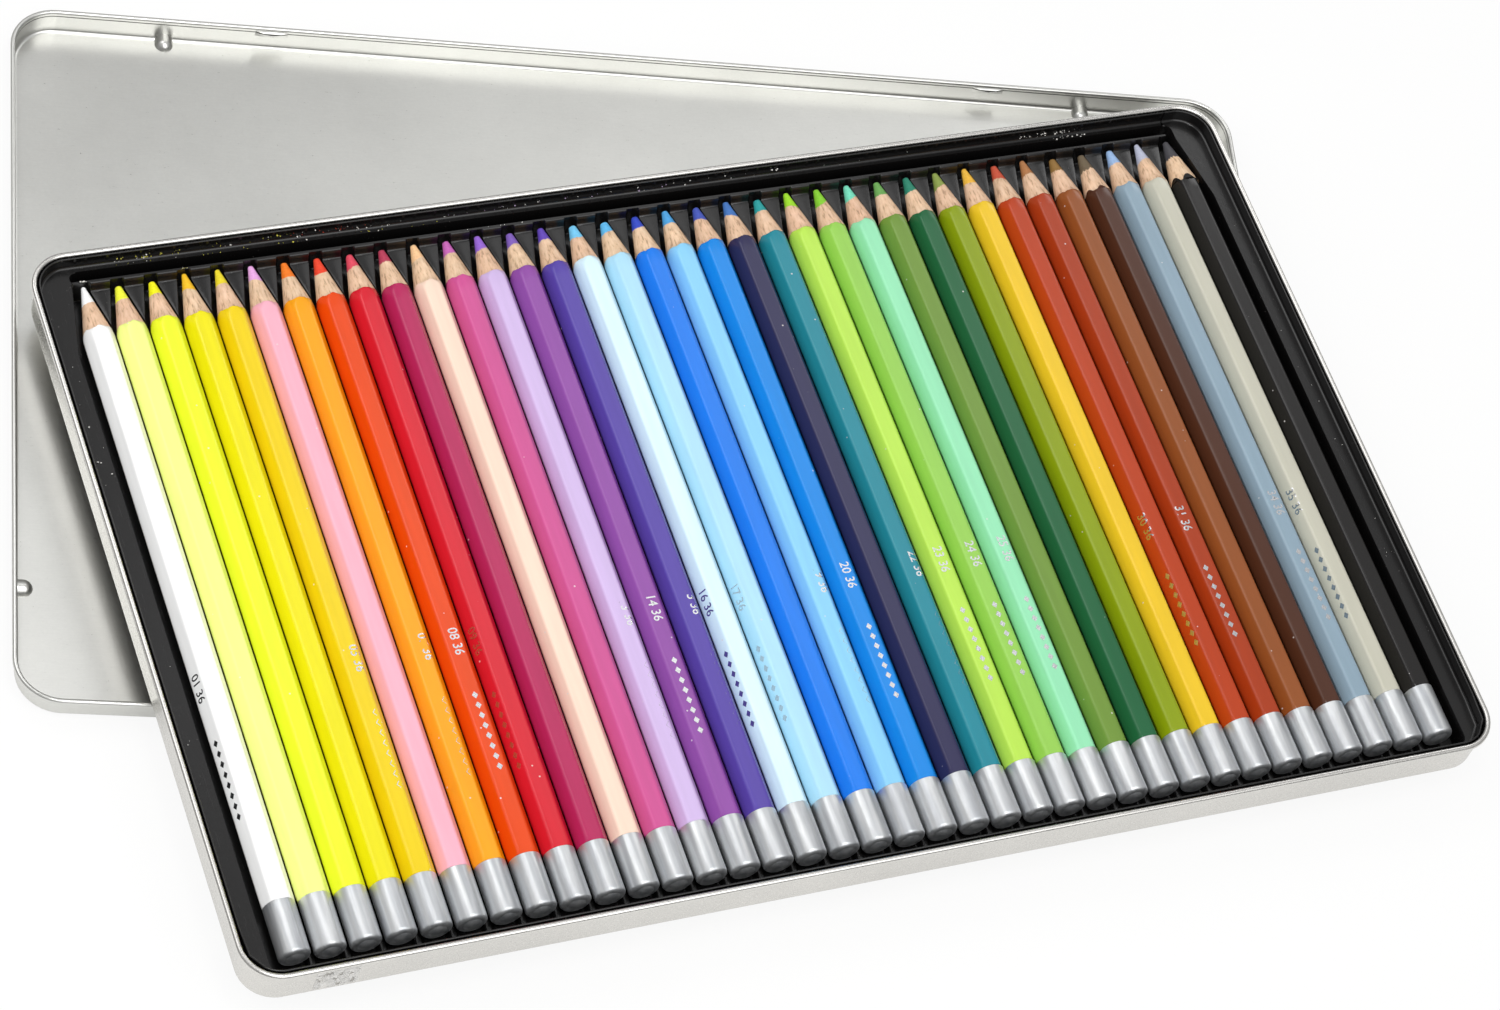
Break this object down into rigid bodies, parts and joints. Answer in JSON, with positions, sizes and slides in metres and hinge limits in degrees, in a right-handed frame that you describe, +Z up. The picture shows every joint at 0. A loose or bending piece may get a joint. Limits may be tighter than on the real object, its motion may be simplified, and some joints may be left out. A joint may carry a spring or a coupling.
{
  "type": "colored pencil tin",
  "caption": "Flat tinplate box of colored pencils, open: the base with its black tray and a row of capped hexagonal pencils rests across the upturned slip lid.",
  "frame": {"origin": "middle of the lid's outer panel, on the table", "axes": "+X along the lid's long side, +Y towards the lid's back wall, +Z up; the base is turned on the lid by 14 degrees about +Z"},
  "size_m": [0.3352, 0.2626, 0.0185],
  "materials": {
    "lid_tinplate": "satin tinplate",
    "base_tinplate": "satin tinplate",
    "black_tray": "glossy vacuum-formed polystyrene",
    "lacquer_white": "gloss lacquer on cedar, with a silver metal cap",
    "lacquer_pale_lemon": "gloss lacquer on cedar, with a silver metal cap",
    "lacquer_lemon": "gloss lacquer on cedar, with a silver metal cap",
    "lacquer_yellow": "gloss lacquer on cedar, with a silver metal cap",
    "lacquer_deep_yellow": "gloss lacquer on cedar, with a silver metal cap",
    "lacquer_pink": "gloss lacquer on cedar, with a silver metal cap",
    "lacquer_orange": "gloss lacquer on cedar, with a silver metal cap",
    "lacquer_vermilion": "gloss lacquer on cedar, with a silver metal cap",
    "lacquer_red": "gloss lacquer on cedar, with a silver metal cap",
    "lacquer_crimson": "gloss lacquer on cedar, with a silver metal cap",
    "lacquer_peach": "gloss lacquer on cedar, with a silver metal cap",
    "lacquer_magenta": "gloss lacquer on cedar, with a silver metal cap",
    "lacquer_lilac": "gloss lacquer on cedar, with a silver metal cap",
    "lacquer_purple": "gloss lacquer on cedar, with a silver metal cap",
    "lacquer_violet_blue": "gloss lacquer on cedar, with a silver metal cap",
    "lacquer_ice_blue": "gloss lacquer on cedar, with a silver metal cap",
    "lacquer_sky_blue": "gloss lacquer on cedar, with a silver metal cap",
    "lacquer_royal_blue": "gloss lacquer on cedar, with a silver metal cap",
    "lacquer_light_blue": "gloss lacquer on cedar, with a silver metal cap",
    "lacquer_blue": "gloss lacquer on cedar, with a silver metal cap",
    "lacquer_navy": "gloss lacquer on cedar, with a silver metal cap",
    "lacquer_teal": "gloss lacquer on cedar, with a silver metal cap",
    "lacquer_apple_green": "gloss lacquer on cedar, with a silver metal cap",
    "lacquer_green": "gloss lacquer on cedar, with a silver metal cap",
    "lacquer_mint": "gloss lacquer on cedar, with a silver metal cap",
    "lacquer_olive_green": "gloss lacquer on cedar, with a silver metal cap",
    "lacquer_dark_green": "gloss lacquer on cedar, with a silver metal cap",
    "lacquer_moss": "gloss lacquer on cedar, with a silver metal cap",
    "lacquer_golden_yellow": "gloss lacquer on cedar, with a silver metal cap",
    "lacquer_red_brown": "gloss lacquer on cedar, with a silver metal cap",
    "lacquer_russet": "gloss lacquer on cedar, with a silver metal cap",
    "lacquer_brown": "gloss lacquer on cedar, with a silver metal cap",
    "lacquer_dark_brown": "gloss lacquer on cedar, with a silver metal cap",
    "lacquer_blue_grey": "gloss lacquer on cedar, with a silver metal cap",
    "lacquer_light_grey": "gloss lacquer on cedar, with a silver metal cap",
    "lacquer_black": "gloss lacquer on cedar, with a silver metal cap"
  },
  "bodies": {
    "lid": {"lid": "lid_tinplate"},
    "tin": {"tin_base": "base_tinplate"},
    "tray": {"pencil_tray": "black_tray"},
    "pencil_01": {"pencil_01_white": "lacquer_white"},
    "pencil_02": {"pencil_02_pale_lemon": "lacquer_pale_lemon"},
    "pencil_03": {"pencil_03_lemon": "lacquer_lemon"},
    "pencil_04": {"pencil_04_yellow": "lacquer_yellow"},
    "pencil_05": {"pencil_05_deep_yellow": "lacquer_deep_yellow"},
    "pencil_06": {"pencil_06_pink": "lacquer_pink"},
    "pencil_07": {"pencil_07_orange": "lacquer_orange"},
    "pencil_08": {"pencil_08_vermilion": "lacquer_vermilion"},
    "pencil_09": {"pencil_09_red": "lacquer_red"},
    "pencil_10": {"pencil_10_crimson": "lacquer_crimson"},
    "pencil_11": {"pencil_11_peach": "lacquer_peach"},
    "pencil_12": {"pencil_12_magenta": "lacquer_magenta"},
    "pencil_13": {"pencil_13_lilac": "lacquer_lilac"},
    "pencil_14": {"pencil_14_purple": "lacquer_purple"},
    "pencil_15": {"pencil_15_violet_blue": "lacquer_violet_blue"},
    "pencil_16": {"pencil_16_ice_blue": "lacquer_ice_blue"},
    "pencil_17": {"pencil_17_sky_blue": "lacquer_sky_blue"},
    "pencil_18": {"pencil_18_royal_blue": "lacquer_royal_blue"},
    "pencil_19": {"pencil_19_light_blue": "lacquer_light_blue"},
    "pencil_20": {"pencil_20_blue": "lacquer_blue"},
    "pencil_21": {"pencil_21_navy": "lacquer_navy"},
    "pencil_22": {"pencil_22_teal": "lacquer_teal"},
    "pencil_23": {"pencil_23_apple_green": "lacquer_apple_green"},
    "pencil_24": {"pencil_24_green": "lacquer_green"},
    "pencil_25": {"pencil_25_mint": "lacquer_mint"},
    "pencil_26": {"pencil_26_olive_green": "lacquer_olive_green"},
    "pencil_27": {"pencil_27_dark_green": "lacquer_dark_green"},
    "pencil_28": {"pencil_28_moss": "lacquer_moss"},
    "pencil_29": {"pencil_29_golden_yellow": "lacquer_golden_yellow"},
    "pencil_30": {"pencil_30_red_brown": "lacquer_red_brown"},
    "pencil_31": {"pencil_31_russet": "lacquer_russet"},
    "pencil_32": {"pencil_32_brown": "lacquer_brown"},
    "pencil_33": {"pencil_33_dark_brown": "lacquer_dark_brown"},
    "pencil_34": {"pencil_34_blue_grey": "lacquer_blue_grey"},
    "pencil_35": {"pencil_35_light_grey": "lacquer_light_grey"},
    "pencil_36": {"pencil_36_black": "lacquer_black"}
  },
  "joints": [
    {"name": "lift_tin", "type": "slide", "parent": "lid", "child": "tin", "axis": [0, 0, 1], "range_m": [0, 0.06]},
    {"name": "lift_tray", "type": "slide", "parent": "tin", "child": "tray", "axis": [0, 0, 1], "range_m": [0, 0.03]},
    {"name": "lift_pencil_01", "type": "slide", "parent": "tray", "child": "pencil_01", "axis": [0, 0, 1], "range_m": [0, 0.03]},
    {"name": "lift_pencil_02", "type": "slide", "parent": "tray", "child": "pencil_02", "axis": [0, 0, 1], "range_m": [0, 0.03]},
    {"name": "lift_pencil_03", "type": "slide", "parent": "tray", "child": "pencil_03", "axis": [0, 0, 1], "range_m": [0, 0.03]},
    {"name": "lift_pencil_04", "type": "slide", "parent": "tray", "child": "pencil_04", "axis": [0, 0, 1], "range_m": [0, 0.03]},
    {"name": "lift_pencil_05", "type": "slide", "parent": "tray", "child": "pencil_05", "axis": [0, 0, 1], "range_m": [0, 0.03]},
    {"name": "lift_pencil_06", "type": "slide", "parent": "tray", "child": "pencil_06", "axis": [0, 0, 1], "range_m": [0, 0.03]},
    {"name": "lift_pencil_07", "type": "slide", "parent": "tray", "child": "pencil_07", "axis": [0, 0, 1], "range_m": [0, 0.03]},
    {"name": "lift_pencil_08", "type": "slide", "parent": "tray", "child": "pencil_08", "axis": [0, 0, 1], "range_m": [0, 0.03]},
    {"name": "lift_pencil_09", "type": "slide", "parent": "tray", "child": "pencil_09", "axis": [0, 0, 1], "range_m": [0, 0.03]},
    {"name": "lift_pencil_10", "type": "slide", "parent": "tray", "child": "pencil_10", "axis": [0, 0, 1], "range_m": [0, 0.03]},
    {"name": "lift_pencil_11", "type": "slide", "parent": "tray", "child": "pencil_11", "axis": [0, 0, 1], "range_m": [0, 0.03]},
    {"name": "lift_pencil_12", "type": "slide", "parent": "tray", "child": "pencil_12", "axis": [0, 0, 1], "range_m": [0, 0.03]},
    {"name": "lift_pencil_13", "type": "slide", "parent": "tray", "child": "pencil_13", "axis": [0, 0, 1], "range_m": [0, 0.03]},
    {"name": "lift_pencil_14", "type": "slide", "parent": "tray", "child": "pencil_14", "axis": [0, 0, 1], "range_m": [0, 0.03]},
    {"name": "lift_pencil_15", "type": "slide", "parent": "tray", "child": "pencil_15", "axis": [0, 0, 1], "range_m": [0, 0.03]},
    {"name": "lift_pencil_16", "type": "slide", "parent": "tray", "child": "pencil_16", "axis": [0, 0, 1], "range_m": [0, 0.03]},
    {"name": "lift_pencil_17", "type": "slide", "parent": "tray", "child": "pencil_17", "axis": [0, 0, 1], "range_m": [0, 0.03]},
    {"name": "lift_pencil_18", "type": "slide", "parent": "tray", "child": "pencil_18", "axis": [0, 0, 1], "range_m": [0, 0.03]},
    {"name": "lift_pencil_19", "type": "slide", "parent": "tray", "child": "pencil_19", "axis": [0, 0, 1], "range_m": [0, 0.03]},
    {"name": "lift_pencil_20", "type": "slide", "parent": "tray", "child": "pencil_20", "axis": [0, 0, 1], "range_m": [0, 0.03]},
    {"name": "lift_pencil_21", "type": "slide", "parent": "tray", "child": "pencil_21", "axis": [0, 0, 1], "range_m": [0, 0.03]},
    {"name": "lift_pencil_22", "type": "slide", "parent": "tray", "child": "pencil_22", "axis": [0, 0, 1], "range_m": [0, 0.03]},
    {"name": "lift_pencil_23", "type": "slide", "parent": "tray", "child": "pencil_23", "axis": [0, 0, 1], "range_m": [0, 0.03]},
    {"name": "lift_pencil_24", "type": "slide", "parent": "tray", "child": "pencil_24", "axis": [0, 0, 1], "range_m": [0, 0.03]},
    {"name": "lift_pencil_25", "type": "slide", "parent": "tray", "child": "pencil_25", "axis": [0, 0, 1], "range_m": [0, 0.03]},
    {"name": "lift_pencil_26", "type": "slide", "parent": "tray", "child": "pencil_26", "axis": [0, 0, 1], "range_m": [0, 0.03]},
    {"name": "lift_pencil_27", "type": "slide", "parent": "tray", "child": "pencil_27", "axis": [0, 0, 1], "range_m": [0, 0.03]},
    {"name": "lift_pencil_28", "type": "slide", "parent": "tray", "child": "pencil_28", "axis": [0, 0, 1], "range_m": [0, 0.03]},
    {"name": "lift_pencil_29", "type": "slide", "parent": "tray", "child": "pencil_29", "axis": [0, 0, 1], "range_m": [0, 0.03]},
    {"name": "lift_pencil_30", "type": "slide", "parent": "tray", "child": "pencil_30", "axis": [0, 0, 1], "range_m": [0, 0.03]},
    {"name": "lift_pencil_31", "type": "slide", "parent": "tray", "child": "pencil_31", "axis": [0, 0, 1], "range_m": [0, 0.03]},
    {"name": "lift_pencil_32", "type": "slide", "parent": "tray", "child": "pencil_32", "axis": [0, 0, 1], "range_m": [0, 0.03]},
    {"name": "lift_pencil_33", "type": "slide", "parent": "tray", "child": "pencil_33", "axis": [0, 0, 1], "range_m": [0, 0.03]},
    {"name": "lift_pencil_34", "type": "slide", "parent": "tray", "child": "pencil_34", "axis": [0, 0, 1], "range_m": [0, 0.03]},
    {"name": "lift_pencil_35", "type": "slide", "parent": "tray", "child": "pencil_35", "axis": [0, 0, 1], "range_m": [0, 0.03]},
    {"name": "lift_pencil_36", "type": "slide", "parent": "tray", "child": "pencil_36", "axis": [0, 0, 1], "range_m": [0, 0.03]}
  ]
}
